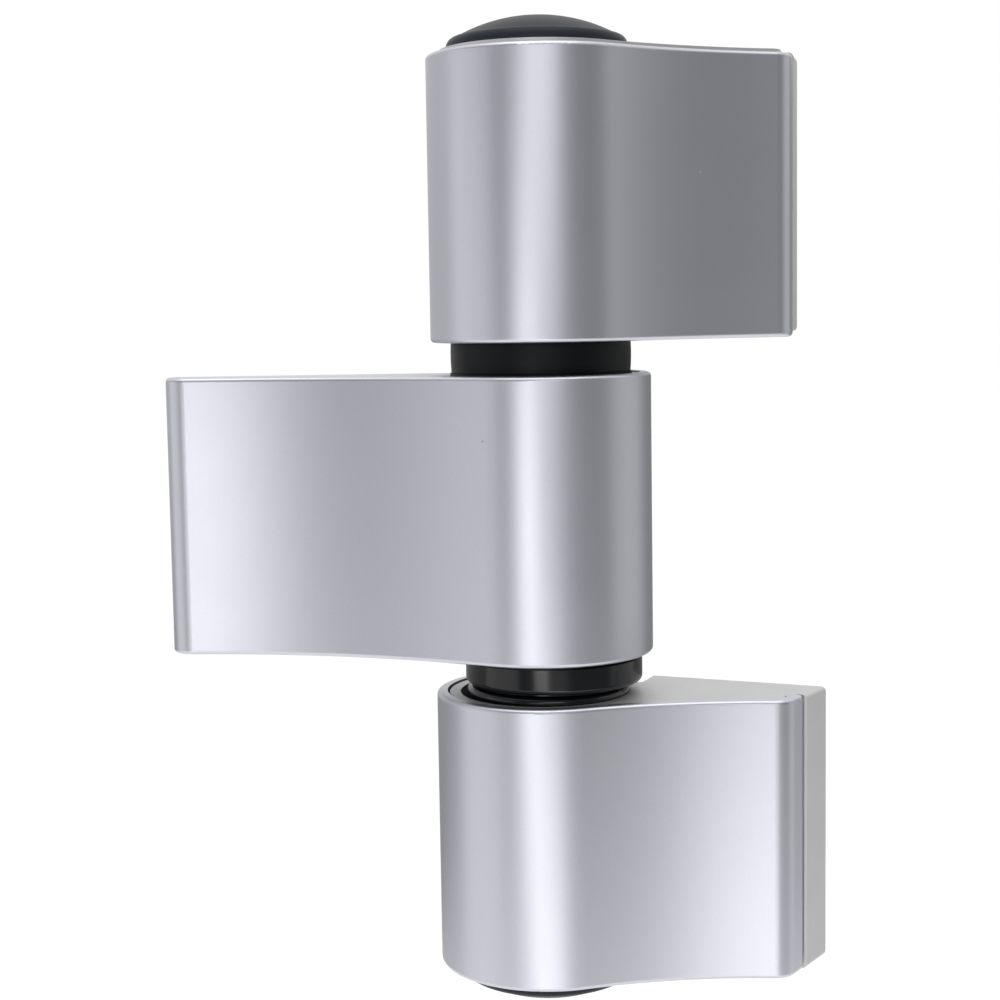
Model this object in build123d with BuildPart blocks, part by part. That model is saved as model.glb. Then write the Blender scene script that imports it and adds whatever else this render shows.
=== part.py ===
from build123d import *
import os
from dataclasses import dataclass
from math import atan2, cos, hypot, radians, sin, sqrt

# Three-leaf surface hinge. Two frame leaves, above and below, turn with the frame. The sash leaf between
# them carries the pin. Every leaf is a solid base with a knuckle tube and a sheet cover clipped over it.
# Frame: +Z up along the pin, origin on the pin's axis at the middle of the sash leaf, front towards -Y.
# A leaf's own section is drawn with x from the axis to its free end and y towards its mounting plane.

# Leaves
leaf_height = 33.2
knuckle_radius = 13.0
upper_gap = 3.75
lower_gap = 4.7

# Free ends: sharp front corner before rounding, concave front, mounting plane
frame_corner_x = 29.5
frame_corner_y = 1.9
frame_front_arc = 57.0
frame_back = 12.3
sash_corner_x = 44.5
sash_corner_y = -1.2
sash_front_arc = 76.0
sash_back = 9.5
end_slant = 10.0
foot_angle = 32.7
foot_fillet = 0.8

# Swing of the frame leaves as they stand, from the position with all three leaves in line
upper_swing = -2.0
lower_swing = -22.0

# Covers, and how far each one stands below its base's end
upper_cover_drop = 0.5
sash_cover_drop = -0.2
lower_cover_drop = -0.2
cover_wall = 1.25
cover_gap = 0.28
cover_side_gap = 0.05
cover_hook_angle = 112.0
cover_edge_round = 0.5
free_corner_round = 2.7
cover_side_length = 4.3
cover_end_round = 0.6
groove_seam = 0.6
flange_front_chamfer = 0.25
snap_bead_radius = 0.5
snap_bead_clearance = 0.08
snap_bead_from_corner = 2.9
cutter_reach = 4.0

# Bases
tube_wall = 1.27
flange_edge_round = 0.6
fixing_hole_radius = 3.3
fixing_head_radius = 5.6
fixing_spacing = 18.0
frame_fixing_x = 20.5
sash_fixing_x = 30.0
fixing_seat_thickness = 6.6

# Pin and its fits
pin_radius = 6.0
pin_top_cover = 9.0
pin_bottom_cover = 12.5
pin_end_chamfer = 0.8
pin_clamp_groove_depth = 0.4
pin_clamp_groove_width = 7.0
running_clearance = 0.05
seat_clearance = 0.05

# Bushes in the frame leaves
upper_ring_lip = 0.4
upper_ring_bulge = 0.08
upper_bush_length = 24.0
collar_lip = 0.4
collar_offset = 1.1
collar_height = 3.0
collar_round = 0.6
collar_groove_depth = 1.5
collar_groove_height = 0.3
neck_inset = 0.45
neck_offset = 0.4
neck_round = 0.8
neck_sink = 3.0

# Sleeves in the sash leaf
sleeve_flange_lip = 0.55
sleeve_flange_height = 0.35
sleeve_to_lock_gap = 1.1

# Lock screws
lock_angle = -5.0
frame_lock_radius = 2.5
frame_lock_length = 4.2
sash_lock_radius = 3.0
sash_lock_length = 10.0
lock_chamfer = 0.4
lock_socket_share = 0.52
lock_socket_depth = 2.4
socket_sides = 6

# Height adjuster in the lower knuckle
thrust_disc_height = 2.2
thrust_disc_chamfer = 0.3
insert_height = 5.0
height_screw_radius = 5.0
height_screw_length = 7.5
height_screw_chamfer = 0.5
height_socket_radius = 2.9
height_socket_depth = 4.0

# Caps
cap_lip = 0.4
cap_rim_height = 0.4
cap_rim_round = 1.1
cap_dome_height = 2.45
cap_plug_length = 4.0
cap_plug_wall = 1.6


@dataclass
class Leaf:
    """One leaf: which way it reaches, its section's driving points, its swing and its cover's lower end."""

    side: int
    corner_x: float
    corner_y: float
    front_arc: float
    back: float
    fixing_x: float
    swing: float
    cover_low: float
    cover_drop: float

    @property
    def low(self):
        return self.cover_low + self.cover_drop

    @property
    def middle(self):
        return self.low + leaf_height / 2

    @property
    def top(self):
        return self.low + leaf_height


sash_cover_low = -leaf_height / 2
upper_cover_low = leaf_height / 2 + upper_gap
lower_cover_low = -leaf_height / 2 - lower_gap - leaf_height

frame_section = (frame_corner_x, frame_corner_y, frame_front_arc, frame_back, frame_fixing_x)
sash_section = (sash_corner_x, sash_corner_y, sash_front_arc, sash_back, sash_fixing_x)
upper_leaf = Leaf(1, *frame_section, upper_swing, upper_cover_low, upper_cover_drop)
sash_leaf = Leaf(-1, *sash_section, 0.0, sash_cover_low, sash_cover_drop)
lower_leaf = Leaf(1, *frame_section, lower_swing, lower_cover_low, lower_cover_drop)

slant = radians(end_slant)
tube_radius = knuckle_radius - cover_wall - cover_gap
knuckle_bore_radius = tube_radius - tube_wall
foot_start = tube_radius * cos(radians(foot_angle))
sleeve_length = leaf_height / 2 - sash_lock_radius - sleeve_to_lock_gap
nose_inside_round = max(free_corner_round - cover_wall, cover_gap)
arc_share = 1 - sin(radians(45))


def level(leaf, height):
    """Horizontal plane through a leaf, turned with it."""
    turn = radians(leaf.swing)
    return Plane(origin=(0, 0, height), x_dir=(cos(turn), sin(turn), 0), z_dir=(0, 0, 1))


def along(leaf, x, y, height, towards):
    """Plane at a point of a leaf's section, facing a direction of that section."""
    place = level(leaf, height)
    origin = place.from_local_coords(Vector(leaf.side * x, y, 0))
    facing = place.from_local_coords(Vector(leaf.side * towards[0], towards[1], 0)) - place.origin
    return Plane(origin=origin, x_dir=(0, 0, 1), z_dir=facing)


def flip(leaf, point):
    """Point of the section as it is drawn for a leaf that reaches to its own side."""
    return (leaf.side * point[0], point[1])


def polar(radius, angle):
    return (radius * cos(angle), radius * sin(angle))


def front_centre(leaf):
    """Centre of the concave front: outside the knuckle, and through the free end's front corner."""
    reach = hypot(leaf.corner_x, leaf.corner_y)
    outer = knuckle_radius + leaf.front_arc
    run = (reach**2 + outer**2 - leaf.front_arc**2) / (2 * reach)
    rise = sqrt(outer**2 - run**2)
    unit = (leaf.corner_x / reach, leaf.corner_y / reach)
    return (run * unit[0] + rise * unit[1], run * unit[1] - rise * unit[0])


def knuckle_end(leaf, depth):
    """Where the knuckle runs into the front, at a depth under the outer skin."""
    centre = front_centre(leaf)
    share = (knuckle_radius - depth) / (knuckle_radius + leaf.front_arc)
    return (centre[0] * share, centre[1] * share)


def side_point(leaf, distance, depth):
    """Point on the free end's side, a distance behind the sharp corner and a depth under the skin."""
    x = leaf.corner_x + distance * sin(slant) - depth * cos(slant)
    y = leaf.corner_y + distance * cos(slant) + depth * sin(slant)
    return (x, y)


def nose(leaf, depth, side_depth):
    """Where the front, at one depth, meets the free end's side, at another."""
    centre = front_centre(leaf)
    start = side_point(leaf, 0, side_depth)
    away = (start[0] - centre[0], start[1] - centre[1])
    run = away[0] * sin(slant) + away[1] * cos(slant)
    short = away[0] ** 2 + away[1] ** 2 - (leaf.front_arc + depth) ** 2
    return side_point(leaf, sqrt(run**2 - short) - run, side_depth)


def front_middle(leaf, depth, side_depth):
    """Point halfway along the front at a depth."""
    centre = front_centre(leaf)
    ends = (knuckle_end(leaf, depth), nose(leaf, depth, side_depth))
    angles = [atan2(end[1] - centre[1], end[0] - centre[0]) for end in ends]
    reach = polar(leaf.front_arc + depth, sum(angles) / 2)
    return (centre[0] + reach[0], centre[1] + reach[1])


def front_outline(leaf, start, depth, side_depth):
    """Knuckle from a start point round the back and the left to the front, then along the front."""
    knuckle_side = (depth - knuckle_radius, 0)
    join = knuckle_end(leaf, depth)
    middle = front_middle(leaf, depth, side_depth)
    end = nose(leaf, depth, side_depth)
    ThreePointArc(flip(leaf, start), flip(leaf, knuckle_side), flip(leaf, join))
    ThreePointArc(flip(leaf, join), flip(leaf, middle), flip(leaf, end))


def nearest(shapes, leaf, point, height=0.0):
    x, y = flip(leaf, point)
    return shapes.sort_by_distance((x, y, height))[0]


def make_cover(leaf, label):
    """Sheet cover: an outer form with rounded edges, hollowed along the same outline."""
    hook = radians(cover_hook_angle)
    bead = side_point(leaf, snap_bead_from_corner, cover_wall)
    side_end = side_point(leaf, cover_side_length, 0)
    outer_start = polar(knuckle_radius, hook)
    side_inside = side_point(leaf, cover_side_length, cutter_reach)
    outer_back = [side_end, side_inside, polar(knuckle_radius - cutter_reach, hook)]
    inner_start = polar(knuckle_radius - cover_wall, hook)
    inner_end = nose(leaf, cover_wall, cover_wall)
    past_side = side_point(leaf, cover_side_length + cutter_reach, cover_wall)
    inner_back = [inner_end, past_side, (0, knuckle_radius + cutter_reach), inner_start]
    with BuildPart() as cover:
        with BuildSketch(level(leaf, leaf.cover_low)) as outer:
            with BuildLine():
                front_outline(leaf, outer_start, 0, 0)
                Polyline(*[flip(leaf, p) for p in [nose(leaf, 0, 0)] + outer_back + [outer_start]])
            make_face()
            fillet(nearest(outer.vertices(), leaf, nose(leaf, 0, 0)), free_corner_round)
            fillet(nearest(outer.vertices(), leaf, side_end), cover_end_round)
        extrude(amount=leaf_height)
        side_middle = side_point(leaf, cover_side_length / 2, 0)
        for rim in (cover.edges().group_by(Axis.Z)[0], cover.edges().group_by(Axis.Z)[-1]):
            at = level(leaf, rim[0].center().Z).from_local_coords(Vector(*flip(leaf, side_middle), 0))
            straight = rim.filter_by(GeomType.LINE).sort_by_distance(at)[0]
            fillet(rim.filter_by(GeomType.CIRCLE) + [straight], cover_edge_round)
        with BuildSketch(level(leaf, leaf.cover_low)) as inner:
            with BuildLine():
                front_outline(leaf, inner_start, cover_wall, cover_wall)
                Polyline(*[flip(leaf, p) for p in inner_back])
            make_face()
            fillet(nearest(inner.vertices(), leaf, inner_end), nose_inside_round)
            with Locations(flip(leaf, bead)):
                Circle(snap_bead_radius, mode=Mode.SUBTRACT)
        extrude(amount=leaf_height, mode=Mode.SUBTRACT)
    cover.part.label = label
    return cover.part


def make_base(leaf, lock_radius, label):
    """Solid leaf with its knuckle tube, side flange, fixing holes and lock screw's hole."""
    depth = cover_wall + cover_gap
    side_depth = cover_wall + cover_side_gap
    tube_start = polar(tube_radius, radians(foot_angle))
    tip = nose(leaf, depth, side_depth)
    step = cover_side_length + groove_seam
    end_length = (leaf.back - leaf.corner_y) / cos(slant)
    flange_front = side_point(leaf, step, 0)
    rear = side_point(leaf, end_length, 0)
    step_inside = side_point(leaf, step, side_depth)
    back_points = [tip, step_inside, flange_front, rear, (foot_start, leaf.back), tube_start]
    bead = side_point(leaf, snap_bead_from_corner, cover_wall)
    seat = leaf.back - fixing_seat_thickness
    front = (0, -1)
    with BuildPart() as base:
        with BuildSketch(level(leaf, leaf.low)) as section:
            with BuildLine():
                front_outline(leaf, tube_start, depth, side_depth)
                Polyline(*[flip(leaf, p) for p in back_points])
            make_face()
            chamfer(nearest(section.vertices(), leaf, flange_front), flange_front_chamfer)
            fillet(nearest(section.vertices(), leaf, tube_start), foot_fillet)
            fillet(nearest(section.vertices(), leaf, tip), nose_inside_round)
            Circle(knuckle_bore_radius, mode=Mode.SUBTRACT)
            with Locations(flip(leaf, bead)):
                Circle(snap_bead_radius + snap_bead_clearance, mode=Mode.SUBTRACT)
        extrude(amount=leaf_height)
        side_middle = side_point(leaf, (step + end_length) / 2, 0)
        for height in (leaf.low, leaf.top):
            at = level(leaf, height).from_local_coords(Vector(*flip(leaf, side_middle), 0))
            fillet(base.edges().sort_by_distance(at)[0], flange_edge_round)
        fixing_heights = (leaf.middle - fixing_spacing / 2, leaf.middle + fixing_spacing / 2)
        with Locations(*[along(leaf, leaf.fixing_x, seat, height, front) for height in fixing_heights]):
            CounterBoreHole(fixing_hole_radius, fixing_head_radius, 0)
        with BuildSketch(along(leaf, 0, 0, leaf.middle, polar(1, radians(lock_angle)))):
            Circle(lock_radius + seat_clearance)
        extrude(amount=leaf.corner_x, mode=Mode.SUBTRACT)
    base.part.label = label
    return base.part


def make_lock_screw(leaf, start, radius, length, label):
    """Grub screw on a line through the axis, with its hexagon socket outwards."""
    outwards = polar(1, radians(lock_angle))
    inner = along(leaf, *polar(start, radians(lock_angle)), leaf.middle, outwards)
    with BuildPart() as screw:
        with BuildSketch(inner):
            Circle(radius)
        extrude(amount=length)
        chamfer(screw.edges().filter_by(GeomType.CIRCLE), lock_chamfer)
        with BuildSketch(inner.offset(length)):
            RegularPolygon(radius * lock_socket_share, socket_sides)
        extrude(amount=-lock_socket_depth, mode=Mode.SUBTRACT)
    screw.part.label = label
    return screw.part


def make_cap(seat, up, label):
    """Domed cap with a hollow plug, on the upper or the lower end of a knuckle."""
    cap_radius = knuckle_bore_radius + cap_lip
    plug_radius = knuckle_bore_radius - seat_clearance
    plug_inside = plug_radius - cap_plug_wall
    dome_start = cap_radius - cap_rim_round
    rim_top = cap_rim_height
    shoulder = rim_top + cap_rim_round
    dome_top = shoulder + cap_dome_height
    sphere = (dome_start**2 + cap_dome_height**2) / (2 * cap_dome_height)
    half = dome_start / 2
    half_height = dome_top - sphere + sqrt(sphere**2 - half**2)
    round_middle = (cap_radius - cap_rim_round * arc_share, shoulder - cap_rim_round * arc_share)

    def at(radius, height):
        return (radius, seat + up * height)

    with BuildPart() as cap:
        with BuildSketch(Plane.XZ):
            with BuildLine():
                Polyline(
                    at(0, dome_top),
                    at(0, 0),
                    at(plug_inside, 0),
                    at(plug_inside, -cap_plug_length),
                    at(plug_radius, -cap_plug_length),
                    at(plug_radius, 0),
                    at(cap_radius, 0),
                    at(cap_radius, rim_top),
                )
                ThreePointArc(at(cap_radius, rim_top), at(*round_middle), at(dome_start, shoulder))
                ThreePointArc(at(dome_start, shoulder), at(half, half_height), at(0, dome_top))
            make_face()
        revolve(axis=Axis.Z)
    cap.part.label = label
    return cap.part


def make_sleeve(end, up, label):
    """Flanged sleeve in one end of the sash knuckle, with the pin through it."""
    bore = pin_radius + seat_clearance
    outside = knuckle_bore_radius - seat_clearance
    flange = knuckle_bore_radius + sleeve_flange_lip

    def at(radius, height):
        return (radius, end + up * height)

    with BuildPart() as sleeve:
        with BuildSketch(Plane.XZ):
            with BuildLine():
                Polyline(
                    at(bore, sleeve_flange_height),
                    at(flange, sleeve_flange_height),
                    at(flange, 0),
                    at(outside, 0),
                    at(outside, -sleeve_length),
                    at(bore, -sleeve_length),
                    close=True,
                )
            make_face()
        revolve(axis=Axis.Z)
    sleeve.part.label = label
    return sleeve.part


pin_low = lower_leaf.low + pin_bottom_cover
pin_high = upper_leaf.top - pin_top_cover
bush_outside = knuckle_bore_radius - seat_clearance
pin_hole_radius = pin_radius + running_clearance
frame_lock = (knuckle_bore_radius, frame_lock_radius, frame_lock_length)

parts = [
    make_base(upper_leaf, frame_lock_radius, "upper_base"),
    make_base(sash_leaf, sash_lock_radius, "sash_base"),
    make_base(lower_leaf, frame_lock_radius, "lower_base"),
    make_cover(upper_leaf, "upper_cover"),
    make_cover(sash_leaf, "sash_cover"),
    make_cover(lower_leaf, "lower_cover"),
    make_cap(upper_leaf.top, 1, "upper_cap"),
    make_cap(lower_leaf.low, -1, "lower_cap"),
    make_sleeve(sash_leaf.top, 1, "sash_top_sleeve"),
    make_sleeve(sash_leaf.low, -1, "sash_bottom_sleeve"),
    make_lock_screw(upper_leaf, *frame_lock, "upper_lock_screw"),
    make_lock_screw(lower_leaf, *frame_lock, "lower_lock_screw"),
    make_lock_screw(
        sash_leaf,
        pin_radius - pin_clamp_groove_depth + seat_clearance,
        sash_lock_radius,
        sash_lock_length,
        "sash_lock_screw",
    ),
]

# Pin: plain steel rod with chamfered ends and a shallow groove where the sash leaf's lock screw bears.
with BuildPart() as hinge_pin:
    with BuildSketch(Plane.XY.offset(pin_low)):
        Circle(pin_radius)
    extrude(amount=pin_high - pin_low)
    chamfer(hinge_pin.edges().filter_by(GeomType.CIRCLE), pin_end_chamfer)
    with BuildSketch(Plane.XY.offset(-pin_clamp_groove_width / 2)):
        Circle(pin_radius + running_clearance)
        Circle(pin_radius - pin_clamp_groove_depth, mode=Mode.SUBTRACT)
    extrude(amount=pin_clamp_groove_width, mode=Mode.SUBTRACT)
hinge_pin.part.label = "hinge_pin"
parts.append(hinge_pin.part)

# Upper bush: a sleeve in the upper knuckle, with a slightly barrelled ring as its flange.
ring_low = sash_leaf.top + sleeve_flange_height + running_clearance
upper_ring_radius = knuckle_bore_radius + upper_ring_lip
with BuildPart() as upper_bush:
    with BuildSketch(Plane.XZ):
        with BuildLine():
            ThreePointArc(
                (upper_ring_radius, ring_low),
                (upper_ring_radius + upper_ring_bulge, (ring_low + upper_leaf.low) / 2),
                (upper_ring_radius, upper_leaf.low),
            )
            Polyline(
                (upper_ring_radius, upper_leaf.low),
                (bush_outside, upper_leaf.low),
                (bush_outside, upper_leaf.low + upper_bush_length),
                (pin_hole_radius, upper_leaf.low + upper_bush_length),
                (pin_hole_radius, ring_low),
                (upper_ring_radius, ring_low),
            )
        make_face()
    revolve(axis=Axis.Z)
upper_bush.part.label = "upper_bush"
parts.append(upper_bush.part)

# Lower bush: a sleeve in the lower knuckle, on the height adjuster's insert, with a neck and a collar set
# off the axis above it.
collar_radius = knuckle_bore_radius + collar_lip
collar_groove_radius = collar_radius - collar_groove_depth
neck_radius = knuckle_bore_radius - neck_inset
collar_top = sash_leaf.low - sleeve_flange_height - running_clearance
collar_low = collar_top - collar_height
neck_top = collar_low - collar_groove_height
sleeve_top = lower_leaf.top - neck_sink
disc_top = pin_low - running_clearance
disc_low = disc_top - thrust_disc_height
with BuildPart() as lower_bush:
    with BuildSketch(Plane.XY.offset(disc_low)):
        Circle(bush_outside)
    extrude(amount=sleeve_top - disc_low)
    neck_axis = Axis((neck_offset, 0, 0), (0, 0, 1))
    with BuildSketch(Plane.XZ.move(Location((neck_offset, 0, 0)))):
        with BuildLine():
            Polyline(
                (neck_radius - neck_round, neck_top),
                (0, neck_top),
                (0, sleeve_top),
                (neck_radius, sleeve_top),
                (neck_radius, neck_top - neck_round),
            )
            ThreePointArc(
                (neck_radius, neck_top - neck_round),
                (neck_radius - neck_round * arc_share, neck_top - neck_round * arc_share),
                (neck_radius - neck_round, neck_top),
            )
        make_face()
    revolve(axis=neck_axis)
    collar_axis = Axis((collar_offset, 0, 0), (0, 0, 1))
    with BuildSketch(Plane.XZ.move(Location((collar_offset, 0, 0)))):
        with BuildLine():
            Polyline(
                (collar_radius, collar_low + collar_round),
                (collar_radius, collar_top),
                (0, collar_top),
                (0, neck_top),
                (collar_groove_radius, neck_top),
                (collar_groove_radius, collar_low),
                (collar_radius - collar_round, collar_low),
            )
            ThreePointArc(
                (collar_radius - collar_round, collar_low),
                (collar_radius - collar_round * arc_share, collar_low + collar_round * arc_share),
                (collar_radius, collar_low + collar_round),
            )
        make_face()
    revolve(axis=collar_axis)
    with Locations((0, 0, collar_top)):
        Hole(pin_hole_radius)
lower_bush.part.label = "lower_bush"
parts.append(lower_bush.part)

# Height adjuster: the disc under the pin, the screw that lifts it and the insert that the screw turns in.
with BuildPart() as lower_thrust_disc:
    with BuildSketch(Plane.XY.offset(disc_low)):
        Circle(pin_radius)
    extrude(amount=thrust_disc_height)
    chamfer(lower_thrust_disc.edges().filter_by(GeomType.CIRCLE), thrust_disc_chamfer)
lower_thrust_disc.part.label = "lower_thrust_disc"
parts.append(lower_thrust_disc.part)

with BuildPart() as lower_height_screw:
    with BuildSketch(Plane.XY.offset(disc_low)):
        Circle(height_screw_radius)
    extrude(amount=-height_screw_length)
    chamfer(lower_height_screw.edges().filter_by(GeomType.CIRCLE), height_screw_chamfer)
    with BuildSketch(Plane.XY.offset(disc_low - height_screw_length)):
        RegularPolygon(height_socket_radius, socket_sides)
    extrude(amount=height_socket_depth, mode=Mode.SUBTRACT)
lower_height_screw.part.label = "lower_height_screw"
parts.append(lower_height_screw.part)

with BuildPart() as lower_height_insert:
    with BuildSketch(Plane.XY.offset(disc_low)):
        Circle(bush_outside)
        Circle(height_screw_radius + seat_clearance, mode=Mode.SUBTRACT)
    extrude(amount=-insert_height)
lower_height_insert.part.label = "lower_height_insert"
parts.append(lower_height_insert.part)

os.makedirs("parts", exist_ok=True)
for part in parts:
    export_step(part, f"parts/{part.label}.step")
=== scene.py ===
"""Looks of the three-leaf hinge: satin silver covers, cast leaves, black bushes and caps, and the stage."""
import math

import bpy
from bpy.props import FloatProperty, FloatVectorProperty, PointerProperty, StringProperty
from mathutils import Matrix, Vector

bl_info = {
    "name": "Three-leaf hinge looks",
    "version": (1, 0, 0),
    "blender": (4, 5, 0),
    "location": "View3D > Sidebar > Hinge",
    "description": "Finishes of the three-leaf hinge and the stage that it is shown on",
    "category": "Object",
}

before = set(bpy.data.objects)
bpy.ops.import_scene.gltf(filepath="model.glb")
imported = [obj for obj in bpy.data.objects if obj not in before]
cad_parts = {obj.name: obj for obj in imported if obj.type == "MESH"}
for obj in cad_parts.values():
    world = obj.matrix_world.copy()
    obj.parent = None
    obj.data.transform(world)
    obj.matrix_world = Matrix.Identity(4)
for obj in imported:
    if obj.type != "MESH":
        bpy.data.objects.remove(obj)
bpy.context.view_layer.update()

MM = 0.001

COVERS = ("upper_cover", "sash_cover", "lower_cover")
LEAF_BASES = ("upper_base", "sash_base", "lower_base")
MATT_BUSHES = ("upper_bush", "sash_top_sleeve", "sash_bottom_sleeve")
POLISHED_BUSHES = ("lower_bush",)
CAPS = ("upper_cap", "lower_cap")
SCREWS = ("upper_lock_screw", "sash_lock_screw", "lower_lock_screw", "lower_height_screw")
ADJUSTERS = ("lower_height_insert", "lower_thrust_disc")
PINS = ("hinge_pin",)


def linear(hex_colour):
    """Turn an sRGB hex colour into the linear RGBA that Blender's sockets take."""
    channels = [int(hex_colour[place:place + 2], 16) / 255 for place in (1, 3, 5)]
    return [c / 12.92 if c <= 0.04045 else ((c + 0.055) / 1.055) ** 2.4 for c in channels] + [1.0]


def add_node(tree, kind, inputs=None, **settings):
    """Add one node, set its properties, and set or link its inputs."""
    node = tree.nodes.new(kind)
    for name, value in settings.items():
        setattr(node, name, value)
    for name, value in (inputs or {}).items():
        if isinstance(value, bpy.types.NodeSocket):
            tree.links.new(value, node.inputs[name])
        else:
            node.inputs[name].default_value = value
    return node


def new_material(name):
    """Make an empty node material with its output and give back the material, its tree and the output."""
    material = bpy.data.materials.new(name)
    material.use_nodes = True
    tree = material.node_tree
    tree.nodes.clear()
    return material, tree, tree.nodes.new("ShaderNodeOutputMaterial")


def per_metre(millimetres):
    """Scale of a pattern on Object coordinates whose features are that many millimetres wide."""
    return 1 / (millimetres * MM)


def turning_marks(tree, place, spacing, detail):
    """Fine rings round the upright axis, that many millimetres apart."""
    stretched = add_node(tree, "ShaderNodeVectorMath", {0: place, 1: (0.02, 0.02, 1.0)}, operation="MULTIPLY")
    return add_node(tree, "ShaderNodeTexNoise", {
        "Vector": stretched.outputs[0], "Scale": per_metre(spacing), "Detail": detail})


def with_speck(tree, place, colour, speck, tone, width):
    """Lay one round speck, that many millimetres wide, over a colour."""
    away = add_node(tree, "ShaderNodeVectorMath", {0: place, 1: speck}, operation="DISTANCE")
    share = add_node(tree, "ShaderNodeMapRange", {
        "Value": away.outputs["Value"],
        "From Min": 0.3 * width * MM,
        "From Max": 0.6 * width * MM,
        "To Min": 1.0,
        "To Max": 0.0,
    })
    mixed = add_node(tree, "ShaderNodeMix", {
        "Factor": share.outputs["Result"], "A": colour, "B": linear(tone)}, data_type="RGBA")
    return mixed.outputs["Result"]


def shown_background(tree):
    """1 for rays that show the background, to the eye or in metal and glass, and 0 for all others."""
    path = add_node(tree, "ShaderNodeLightPath")
    shown = path.outputs["Is Camera Ray"]
    for kind in ("Is Glossy Ray", "Is Transmission Ray"):
        both = add_node(tree, "ShaderNodeMath", {
            0: shown, 1: path.outputs[kind]}, operation="ADD", use_clamp=True)
        shown = both.outputs[0]
    return shown


def finish_nodes(names, material):
    """Give CAD nodes one finish, in every slot that they have."""
    for name in names:
        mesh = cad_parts[name].data
        if not mesh.materials:
            mesh.materials.append(material)
        for place in range(len(mesh.materials)):
            mesh.materials[place] = material


def satin_silver_lacquer(finish):
    """Metallic silver lacquer sprayed on aluminium: a broad soft sheen with fine, faint flakes."""
    material, tree, output = new_material("Satin silver lacquer on aluminium")
    place = add_node(tree, "ShaderNodeTexCoord").outputs["Object"]
    # Flakes are about 0.03 mm wide and are drawn twice as wide, so that they still show close by.
    cells = add_node(tree, "ShaderNodeVectorMath", {
        0: place, 1: (finish.flake_size * MM,) * 3}, operation="SNAP")
    flakes = add_node(tree, "ShaderNodeTexWhiteNoise", {"Vector": cells.outputs[0]})
    cloud = add_node(tree, "ShaderNodeTexNoise", {"Vector": place, "Scale": per_metre(9.0), "Detail": 3.0})
    colour = add_node(tree, "ShaderNodeMix", {
        "Factor": flakes.outputs["Value"],
        "A": linear(finish.silver_dark),
        "B": linear(finish.silver_light),
    }, data_type="RGBA")
    # One light speck of dust lies in the upper cover's lacquer and one dark speck in the sash cover's.
    tint = colour.outputs["Result"]
    tint = with_speck(tree, place, tint, finish.light_speck, finish.light_speck_colour, 0.3)
    tint = with_speck(tree, place, tint, finish.dark_speck, finish.dark_speck_colour, 0.28)
    roughness = add_node(tree, "ShaderNodeMapRange", {
        "Value": cloud.outputs["Fac"],
        "To Min": finish.silver_roughness - 0.015,
        "To Max": finish.silver_roughness + 0.015,
    })
    peel = add_node(tree, "ShaderNodeTexNoise", {"Vector": place, "Scale": per_metre(0.5), "Detail": 2.0})
    bump = add_node(tree, "ShaderNodeBump", {
        "Height": peel.outputs["Fac"], "Strength": 0.02, "Distance": 0.02 * MM})
    shader = add_node(tree, "ShaderNodeBsdfPrincipled", {
        "Base Color": tint,
        "Metallic": 1.0,
        "Roughness": roughness.outputs["Result"],
        "Normal": bump.outputs["Normal"],
    })
    tree.links.new(shader.outputs["BSDF"], output.inputs["Surface"])
    return material


def cast_matt_silver(finish):
    """Die-cast zinc under matt silver paint: nearly even light grey, with the casting's faint unevenness."""
    material, tree, output = new_material("Matt silver paint on die-cast zinc")
    place = add_node(tree, "ShaderNodeTexCoord").outputs["Object"]
    grain = add_node(tree, "ShaderNodeTexNoise", {"Vector": place, "Scale": per_metre(0.35), "Detail": 3.0})
    cloud = add_node(tree, "ShaderNodeTexNoise", {"Vector": place, "Scale": per_metre(6.0), "Detail": 2.0})
    colour = add_node(tree, "ShaderNodeMix", {
        "Factor": cloud.outputs["Fac"],
        "A": linear(finish.cast_dark),
        "B": linear(finish.cast_light),
    }, data_type="RGBA")
    bump = add_node(tree, "ShaderNodeBump", {
        "Height": grain.outputs["Fac"], "Strength": 0.25, "Distance": 0.02 * MM})
    roughness = add_node(tree, "ShaderNodeMapRange", {
        "Value": grain.outputs["Fac"], "To Min": 0.5, "To Max": 0.62})
    shader = add_node(tree, "ShaderNodeBsdfPrincipled", {
        "Base Color": colour.outputs["Result"],
        "Metallic": 0.9,
        "Roughness": roughness.outputs["Result"],
        "Normal": bump.outputs["Normal"],
    })
    tree.links.new(shader.outputs["BSDF"], output.inputs["Surface"])
    return material


def turned_black_acetal(name, colour, roughness_from, roughness_to, gloss):
    """Black acetal, turned: matt or polished, with fine turning marks round the axis."""
    material, tree, output = new_material(name)
    place = add_node(tree, "ShaderNodeTexCoord").outputs["Object"]
    # Turning marks are about 0.05 mm apart and are drawn at 0.25 mm, so that they show.
    marks = turning_marks(tree, place, 0.25, 2.0)
    roughness = add_node(tree, "ShaderNodeMapRange", {
        "Value": marks.outputs["Fac"], "To Min": roughness_from, "To Max": roughness_to})
    bump = add_node(tree, "ShaderNodeBump", {
        "Height": marks.outputs["Fac"], "Strength": 0.08, "Distance": 0.02 * MM})
    shader = add_node(tree, "ShaderNodeBsdfPrincipled", {
        "Base Color": linear(colour),
        "Roughness": roughness.outputs["Result"],
        "IOR": 1.48,
        "Specular IOR Level": gloss,
        "Normal": bump.outputs["Normal"],
    })
    tree.links.new(shader.outputs["BSDF"], output.inputs["Surface"])
    return material


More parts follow.
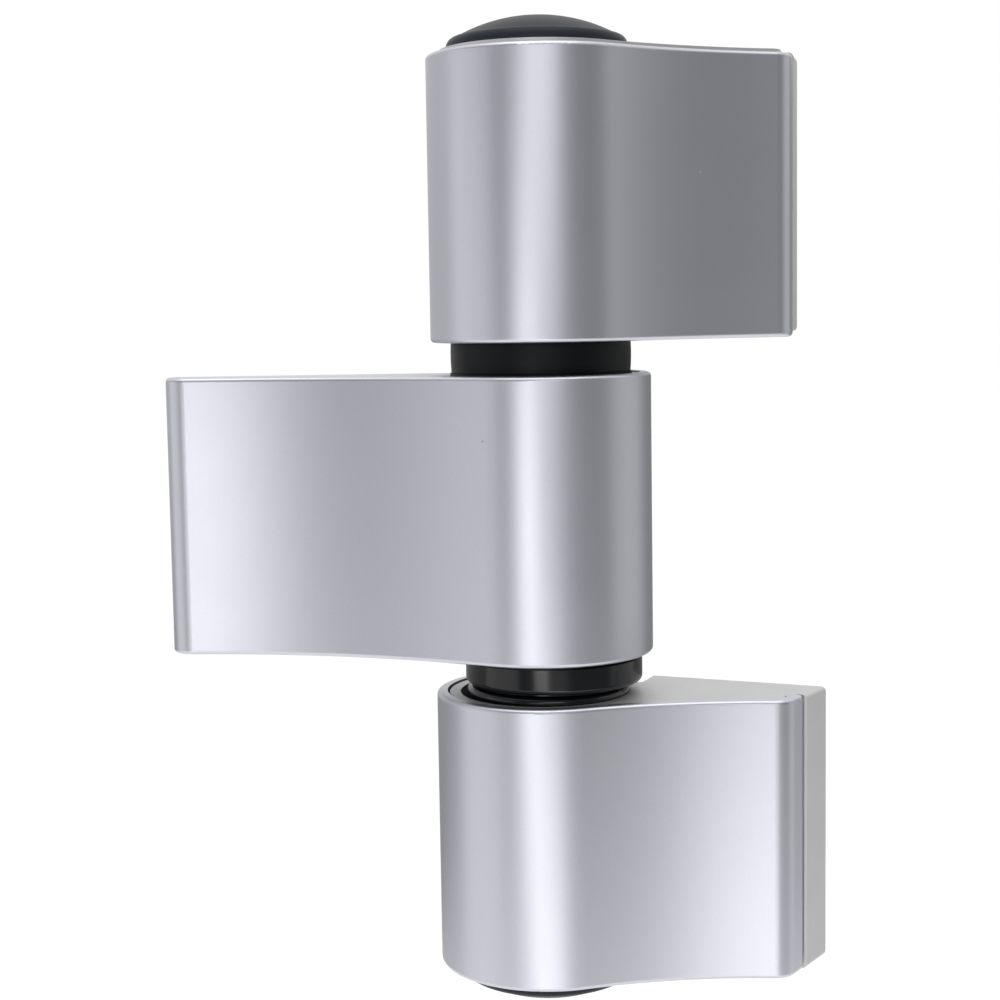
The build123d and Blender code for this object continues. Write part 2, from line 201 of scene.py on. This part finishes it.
def grained_black_nylon(finish):
    """Black nylon from a spark-eroded mould: a fine grain that scatters the light to dark grey."""
    material, tree, output = new_material("Fine-grained black nylon")
    place = add_node(tree, "ShaderNodeTexCoord").outputs["Object"]
    grain = add_node(tree, "ShaderNodeTexNoise", {"Vector": place, "Scale": per_metre(0.3), "Detail": 4.0})
    bump = add_node(tree, "ShaderNodeBump", {
        "Height": grain.outputs["Fac"], "Strength": 0.3, "Distance": 0.03 * MM})
    roughness = add_node(tree, "ShaderNodeMapRange", {
        "Value": grain.outputs["Fac"], "To Min": 0.36, "To Max": 0.46})
    shader = add_node(tree, "ShaderNodeBsdfPrincipled", {
        "Base Color": linear(finish.nylon),
        "Roughness": roughness.outputs["Result"],
        "IOR": 1.53,
        "Specular IOR Level": 0.12,
        "Normal": bump.outputs["Normal"],
    })
    tree.links.new(shader.outputs["BSDF"], output.inputs["Surface"])
    return material


def ground_steel(finish):
    """Hardened steel, ground: bright, with fine grinding marks round the pin."""
    material, tree, output = new_material("Ground steel")
    place = add_node(tree, "ShaderNodeTexCoord").outputs["Object"]
    marks = turning_marks(tree, place, 0.15, 3.0)
    roughness = add_node(tree, "ShaderNodeMapRange", {
        "Value": marks.outputs["Fac"], "To Min": 0.18, "To Max": 0.3})
    shader = add_node(tree, "ShaderNodeBsdfPrincipled", {
        "Base Color": linear(finish.steel),
        "Metallic": 1.0,
        "Roughness": roughness.outputs["Result"],
    })
    tree.links.new(shader.outputs["BSDF"], output.inputs["Surface"])
    return material


def blackened_steel(finish):
    """Black-oxide steel screws: dark, oily satin with a faint mottle."""
    material, tree, output = new_material("Black-oxide steel")
    place = add_node(tree, "ShaderNodeTexCoord").outputs["Object"]
    mottle = add_node(tree, "ShaderNodeTexNoise", {"Vector": place, "Scale": per_metre(0.8), "Detail": 4.0})
    roughness = add_node(tree, "ShaderNodeMapRange", {
        "Value": mottle.outputs["Fac"], "To Min": 0.35, "To Max": 0.5})
    shader = add_node(tree, "ShaderNodeBsdfPrincipled", {
        "Base Color": linear(finish.oxide),
        "Metallic": 0.8,
        "Roughness": roughness.outputs["Result"],
    })
    tree.links.new(shader.outputs["BSDF"], output.inputs["Surface"])
    return material


def turned_brass(finish):
    """Brass, turned: warm yellow with fine rings."""
    material, tree, output = new_material("Turned brass")
    place = add_node(tree, "ShaderNodeTexCoord").outputs["Object"]
    rings = turning_marks(tree, place, 0.2, 2.0)
    roughness = add_node(tree, "ShaderNodeMapRange", {
        "Value": rings.outputs["Fac"], "To Min": 0.22, "To Max": 0.34})
    shader = add_node(tree, "ShaderNodeBsdfPrincipled", {
        "Base Color": linear(finish.brass),
        "Metallic": 1.0,
        "Roughness": roughness.outputs["Result"],
    })
    tree.links.new(shader.outputs["BSDF"], output.inputs["Surface"])
    return material


class HINGE_PG_finish(bpy.types.PropertyGroup):
    """Colours and grain of the hinge's finishes."""

    silver_dark: StringProperty(
        name="Silver, dark flakes", description="sRGB colour of the darker flakes", default="#c5c6ce")
    silver_light: StringProperty(
        name="Silver, light flakes", description="sRGB colour of the lighter flakes", default="#cbccd4")
    silver_roughness: FloatProperty(
        name="Silver roughness", description="Breadth of the lacquer's sheen",
        default=0.38, min=0.0, max=1.0, subtype="FACTOR")
    flake_size: FloatProperty(
        name="Flake size", description="Width of a flake in millimetres", default=0.06, min=0.01)
    light_speck: FloatVectorProperty(
        name="Light speck", description="Place of the light dust speck on the upper cover",
        default=(0.018675, -0.003283, 0.039583), subtype="TRANSLATION", unit="LENGTH")
    light_speck_colour: StringProperty(
        name="Light speck colour", description="sRGB colour of the light dust speck", default="#e4e5ed")
    dark_speck: FloatVectorProperty(
        name="Dark speck", description="Place of the dark dust speck on the sash cover",
        default=(-0.006707, -0.011144, 0.009321), subtype="TRANSLATION", unit="LENGTH")
    dark_speck_colour: StringProperty(
        name="Dark speck colour", description="sRGB colour of the dark dust speck", default="#a2a3aa")
    cast_dark: StringProperty(
        name="Cast leaf, dark", description="sRGB colour of the leaf's paint", default="#cccccc")
    cast_light: StringProperty(
        name="Cast leaf, light", description="sRGB colour of the leaf's paint", default="#d4d4d5")
    acetal: StringProperty(name="Bushes", description="sRGB colour of the acetal", default="#090b0f")
    nylon: StringProperty(name="Caps", description="sRGB colour of the nylon", default="#262b32")
    steel: StringProperty(name="Pin", description="sRGB colour of the ground steel", default="#c4c4c6")
    oxide: StringProperty(name="Screws", description="sRGB colour of the black oxide", default="#3a3a3c")
    brass: StringProperty(name="Adjuster", description="sRGB colour of the brass", default="#d8b878")


class HINGE_PG_stage(bpy.types.PropertyGroup):
    """Camera, floor and light of the stage."""

    camera_place: FloatVectorProperty(
        name="Camera", description="Where the camera stands",
        default=(0.0, -0.22626, 0.02468), subtype="TRANSLATION", unit="LENGTH")
    camera_yaw: FloatProperty(
        name="Yaw", description="Turn of the view to the right", default=-0.0225083, subtype="ANGLE")
    camera_pitch: FloatProperty(
        name="Pitch", description="Tilt of the view downwards", default=0.1020701, subtype="ANGLE")
    camera_roll: FloatProperty(
        name="Roll", description="Turn of the picture", default=0.0158453, subtype="ANGLE")
    camera_lens: FloatProperty(
        name="Lens", description="Focal length in millimetres on a 36 mm sensor", default=68.61)
    floor_height: FloatProperty(
        name="Floor", description="Height of the floor", default=-0.58, unit="LENGTH")
    floor_size: FloatProperty(
        name="Floor size", description="Side of the floor", default=20.0, unit="LENGTH")
    floor_colour: StringProperty(
        name="Floor colour", description="sRGB colour of the floor", default="#c8c8c8")
    floor_lift: FloatProperty(
        name="Floor lift", description="Glow that lifts the floor to white for the eye", default=0.68)
    card_radius: FloatProperty(
        name="Card radius", description="Radius of the grey card", default=1.55, unit="LENGTH")
    card_height: FloatProperty(
        name="Card height", description="Height of the grey card", default=2.4, unit="LENGTH")
    card_middle: FloatProperty(
        name="Card middle", description="Height of the card's top edge at the sides",
        default=0.85, unit="LENGTH")
    card_fall: FloatProperty(
        name="Card fall", description="Slope of the card's top edge from the front to the back", default=0.42)
    card_level: FloatProperty(
        name="Card level", description="Brightness of the grey card in reflections", default=0.22)
    card_bright_level: FloatProperty(
        name="Card bright level", description="Brightness of the grey card's lighter side", default=0.65)
    card_bright_side: FloatProperty(
        name="Card bright side", description="Azimuth of the grey card's lighter side",
        default=math.radians(-140), subtype="ANGLE")
    ambient: FloatProperty(
        name="Ambient", description="Strength of the world's light on matt surfaces", default=0.6)


# Soft boxes: name, azimuth and elevation in degrees, distance, width and height in metres, radiance.
SOFT_BOXES = (
    ("key_box", -16.5, -6.0, 1.4, 0.42, 0.34, 3.8),
    ("upper_key_box", 5.0, 13.0, 1.4, 0.82, 0.4, 2.1),
    ("lower_key_box", 1.5, -23.5, 1.2, 0.62, 0.36, 2.12),
    ("left_box", -73.0, -1.0, 1.4, 2.1, 1.0, 0.69),
    ("right_box", 101.0, 4.0, 1.4, 1.45, 1.2, 0.43),
    ("top_box", 0.0, 78.0, 1.4, 1.3, 1.1, 1.38),
)


def around(azimuth, elevation, distance):
    """Point at an azimuth, turned from the front to the right, and an elevation round the hinge."""
    turn = math.radians(azimuth)
    rise = math.radians(elevation)
    level = math.cos(rise)
    return Vector((math.sin(turn) * level, -math.cos(turn) * level, math.sin(rise))) * distance


class HINGE_OT_covers(bpy.types.Operator):
    """Finish the three covers in satin silver lacquer"""

    bl_idname = "hinge.covers"
    bl_label = "Covers"

    def execute(self, context):
        finish_nodes(COVERS, satin_silver_lacquer(context.scene.hinge_finish))
        return {"FINISHED"}


class HINGE_OT_leaf_bases(bpy.types.Operator):
    """Finish the three cast leaves in matt silver"""

    bl_idname = "hinge.leaf_bases"
    bl_label = "Cast leaves"

    def execute(self, context):
        finish_nodes(LEAF_BASES, cast_matt_silver(context.scene.hinge_finish))
        return {"FINISHED"}


class HINGE_OT_bushes(bpy.types.Operator):
    """Finish the bushes and sleeves in turned black acetal"""

    bl_idname = "hinge.bushes"
    bl_label = "Bushes and sleeves"

    def execute(self, context):
        colour = context.scene.hinge_finish.acetal
        finish_nodes(MATT_BUSHES, turned_black_acetal("Matt black acetal", colour, 0.38, 0.48, 0.17))
        finish_nodes(POLISHED_BUSHES, turned_black_acetal("Polished black acetal", colour, 0.16, 0.22, 0.52))
        return {"FINISHED"}


class HINGE_OT_caps(bpy.types.Operator):
    """Finish the two domed caps in grained black nylon"""

    bl_idname = "hinge.caps"
    bl_label = "Caps"

    def execute(self, context):
        finish_nodes(CAPS, grained_black_nylon(context.scene.hinge_finish))
        return {"FINISHED"}


class HINGE_OT_inner_parts(bpy.types.Operator):
    """Finish the pin, the screws and the height adjuster"""

    bl_idname = "hinge.inner_parts"
    bl_label = "Pin, screws and adjuster"

    def execute(self, context):
        finish = context.scene.hinge_finish
        finish_nodes(PINS, ground_steel(finish))
        finish_nodes(SCREWS, blackened_steel(finish))
        finish_nodes(ADJUSTERS, turned_brass(finish))
        return {"FINISHED"}


class HINGE_OT_stage(bpy.types.Operator):
    """Set up the camera, the pale floor, the grey card and the soft boxes"""

    bl_idname = "hinge.stage"
    bl_label = "Stage"

    def execute(self, context):
        stage = context.scene.hinge_stage
        self.set_camera(context.scene, stage)
        self.set_world(context.scene, stage)
        self.set_floor(stage)
        self.set_card(stage)
        for box in SOFT_BOXES:
            self.set_soft_box(*box)
        context.scene.view_settings.view_transform = "Standard"
        return {"FINISHED"}

    def set_camera(self, scene, stage):
        """Stand the camera where the photograph was taken from."""
        yaw, pitch, roll = stage.camera_yaw, stage.camera_pitch, stage.camera_roll
        ahead = Vector((math.sin(yaw) * math.cos(pitch), math.cos(yaw) * math.cos(pitch), -math.sin(pitch)))
        right = Vector((math.cos(yaw), -math.sin(yaw), 0.0))
        down = ahead.cross(right)
        rolled_right = math.cos(roll) * right + math.sin(roll) * down
        rolled_up = math.sin(roll) * right - math.cos(roll) * down
        bpy.ops.object.camera_add()
        camera = bpy.context.object
        camera.name = "photo_camera"
        turn = Matrix((rolled_right, rolled_up, -ahead)).transposed().to_4x4()
        camera.matrix_world = Matrix.Translation(stage.camera_place) @ turn
        camera.data.lens = stage.camera_lens
        camera.data.sensor_width = 36.0
        camera.data.clip_start = 0.01
        scene.camera = camera

    def set_world(self, scene, stage):
        """White to the eye and in reflections, and a plain ambient light on matt surfaces."""
        world = bpy.data.worlds.new("White studio")
        world.use_nodes = True
        tree = world.node_tree
        tree.nodes.clear()
        strength = add_node(tree, "ShaderNodeMapRange", {
            "Value": shown_background(tree), "To Min": stage.ambient, "To Max": 1.0})
        white = add_node(tree, "ShaderNodeBackground", {
            "Color": (1.0, 1.0, 1.0, 1.0), "Strength": strength.outputs["Result"]})
        output = add_node(tree, "ShaderNodeOutputWorld")
        tree.links.new(white.outputs[0], output.inputs["Surface"])
        scene.world = world

    def set_floor(self, stage):
        """Pale floor well under the hinge, lifted to white for the eye and in reflections."""
        bpy.ops.object.select_all(action="DESELECT")
        bpy.ops.mesh.primitive_plane_add(size=stage.floor_size, location=(0, 0, stage.floor_height))
        floor = bpy.context.object
        floor.name = "floor"
        material, tree, output = new_material("Pale floor")
        strength = add_node(tree, "ShaderNodeMath", {
            0: shown_background(tree), 1: stage.floor_lift}, operation="MULTIPLY")
        lift = add_node(tree, "ShaderNodeEmission", {
            "Color": (1.0, 1.0, 1.0, 1.0), "Strength": strength.outputs[0]})
        matt = add_node(tree, "ShaderNodeBsdfDiffuse", {"Color": linear(stage.floor_colour)})
        both = add_node(tree, "ShaderNodeAddShader", {0: lift.outputs[0], 1: matt.outputs[0]})
        tree.links.new(both.outputs[0], output.inputs["Surface"])
        floor.data.materials.append(material)

    def set_card(self, stage):
        """Grey card bent round the hinge, low and lighter at the back, and seen only in reflections."""
        bpy.ops.object.select_all(action="DESELECT")
        bpy.ops.mesh.primitive_circle_add(
            vertices=96, radius=stage.card_radius, location=(0, 0, stage.floor_height))
        card = bpy.context.object
        card.name = "grey_card"
        bpy.ops.object.mode_set(mode="EDIT")
        bpy.ops.mesh.select_all(action="SELECT")
        bpy.ops.mesh.extrude_region_move(TRANSFORM_OT_translate={"value": (0, 0, stage.card_height)})
        bpy.ops.mesh.select_all(action="SELECT")
        bpy.ops.mesh.bisect(
            plane_co=(0, 0, stage.card_middle), plane_no=(0, stage.card_fall, 1), clear_outer=True)
        bpy.ops.object.mode_set(mode="OBJECT")
        material, tree, output = new_material("Grey card")
        place = add_node(tree, "ShaderNodeTexCoord").outputs["Object"]
        bright_side = around(math.degrees(stage.card_bright_side), 0.0, 1 / stage.card_radius)
        towards = add_node(tree, "ShaderNodeVectorMath", {0: place, 1: bright_side}, operation="DOT_PRODUCT")
        side_share = add_node(tree, "ShaderNodeMapRange", {
            "Value": towards.outputs["Value"],
            "From Min": 0.4,
            "From Max": 0.9,
        }, interpolation_type="SMOOTHSTEP")
        height = add_node(tree, "ShaderNodeSeparateXYZ", {"Vector": place})
        height_share = add_node(tree, "ShaderNodeMapRange", {
            "Value": height.outputs["Z"],
            "From Min": 0.15,
            "From Max": 0.5,
        }, interpolation_type="SMOOTHSTEP")
        share = add_node(tree, "ShaderNodeMath", {
            0: side_share.outputs["Result"], 1: height_share.outputs["Result"]}, operation="MULTIPLY")
        level = add_node(tree, "ShaderNodeMapRange", {
            "Value": share.outputs[0], "To Min": stage.card_level, "To Max": stage.card_bright_level})
        glow = add_node(tree, "ShaderNodeEmission", {
            "Color": (1.0, 1.0, 1.0, 1.0), "Strength": level.outputs["Result"]})
        tree.links.new(glow.outputs[0], output.inputs["Surface"])
        card.data.materials.append(material)
        card.visible_camera = False
        card.visible_diffuse = False

    def set_soft_box(self, name, azimuth, elevation, distance, width, height, radiance):
        """Hang one soft box, facing the hinge."""
        bpy.ops.object.light_add(type="AREA", location=around(azimuth, elevation, distance))
        lamp = bpy.context.object
        lamp.name = name
        lamp.rotation_euler = (-lamp.location).to_track_quat("-Z", "Y").to_euler()
        lamp.data.shape = "RECTANGLE"
        lamp.data.size = width
        lamp.data.size_y = height
        lamp.data.energy = radiance * math.pi * width * height


class HINGE_PT_panel(bpy.types.Panel):
    """Lists the finishes and the stage of the hinge"""

    bl_idname = "HINGE_PT_panel"
    bl_label = "Three-leaf hinge"
    bl_space_type = "VIEW_3D"
    bl_region_type = "UI"
    bl_category = "Hinge"

    def draw(self, context):
        column = self.layout.column()
        for operator in OPERATORS:
            column.operator(operator.bl_idname)
        for group in (context.scene.hinge_finish, context.scene.hinge_stage):
            for name in group.__annotations__:
                column.prop(group, name)


OPERATORS = (
    HINGE_OT_covers,
    HINGE_OT_leaf_bases,
    HINGE_OT_bushes,
    HINGE_OT_caps,
    HINGE_OT_inner_parts,
    HINGE_OT_stage,
)
CLASSES = (HINGE_PG_finish, HINGE_PG_stage) + OPERATORS + (HINGE_PT_panel,)


def register():
    for item in CLASSES:
        bpy.utils.register_class(item)
    bpy.types.Scene.hinge_finish = PointerProperty(type=HINGE_PG_finish)
    bpy.types.Scene.hinge_stage = PointerProperty(type=HINGE_PG_stage)


def unregister():
    del bpy.types.Scene.hinge_stage
    del bpy.types.Scene.hinge_finish
    for item in reversed(CLASSES):
        bpy.utils.unregister_class(item)


def main():
    register()
    bpy.ops.hinge.covers()
    bpy.ops.hinge.leaf_bases()
    bpy.ops.hinge.bushes()
    bpy.ops.hinge.caps()
    bpy.ops.hinge.inner_parts()
    bpy.ops.hinge.stage()


if __name__ == "__main__":
    main()
